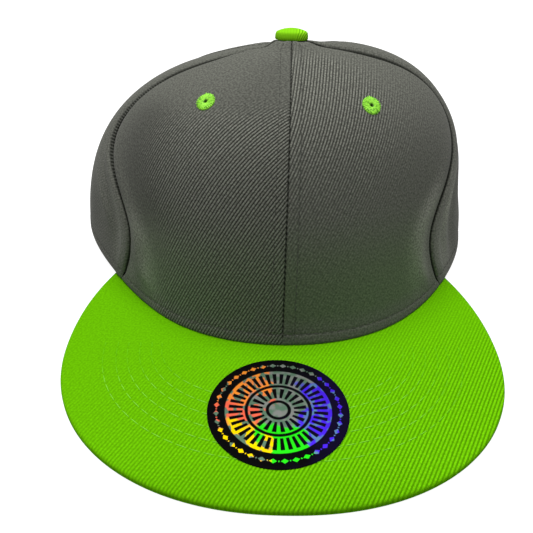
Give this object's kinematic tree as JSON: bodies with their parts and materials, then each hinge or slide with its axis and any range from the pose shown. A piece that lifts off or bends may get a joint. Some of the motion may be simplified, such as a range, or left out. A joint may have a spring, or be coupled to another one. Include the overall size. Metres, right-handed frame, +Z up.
{
  "type": "flat bill cap",
  "caption": "Six-panel cloth cap with a tall structured front, a broad flat bill, a covered button on top, thread eyelets and a closed plastic strap at the back.",
  "frame": {"origin": "under the middle of the cap's box, on the surface that the bill and the back of the rim rest on", "axes": "+Z up through the crown, -Y the way the bill points, +X to the right of somebody looking at the cap's front"},
  "size_m": [0.1938, 0.2596, 0.1092],
  "materials": {
    "crown_twill": "dark grey cotton twill with a fine diagonal rib",
    "bill_twill": "bright green cotton twill with a fine diagonal rib and stitched rows",
    "eyelet_thread": "bright green embroidery thread, slightly shiny",
    "band_cotton": "plain dark cotton band",
    "strap_plastic": "moulded dark grey plastic, satin",
    "sticker_foil": "thin glossy foil sticker with a black rim"
  },
  "bodies": {
    "root": {"front_left_panel": "crown_twill", "front_right_panel": "crown_twill", "side_left_panel": "crown_twill", "side_right_panel": "crown_twill", "back_left_panel": "crown_twill", "back_right_panel": "crown_twill", "front_left_eyelet": "eyelet_thread", "front_right_eyelet": "eyelet_thread", "side_left_eyelet": "eyelet_thread", "side_right_eyelet": "eyelet_thread", "back_left_eyelet": "eyelet_thread", "back_right_eyelet": "eyelet_thread", "bill": "bill_twill", "top_button": "bill_twill", "sweatband": "band_cotton", "snap_strap": "strap_plastic", "bill_sticker": "sticker_foil"}
  },
  "joints": []
}
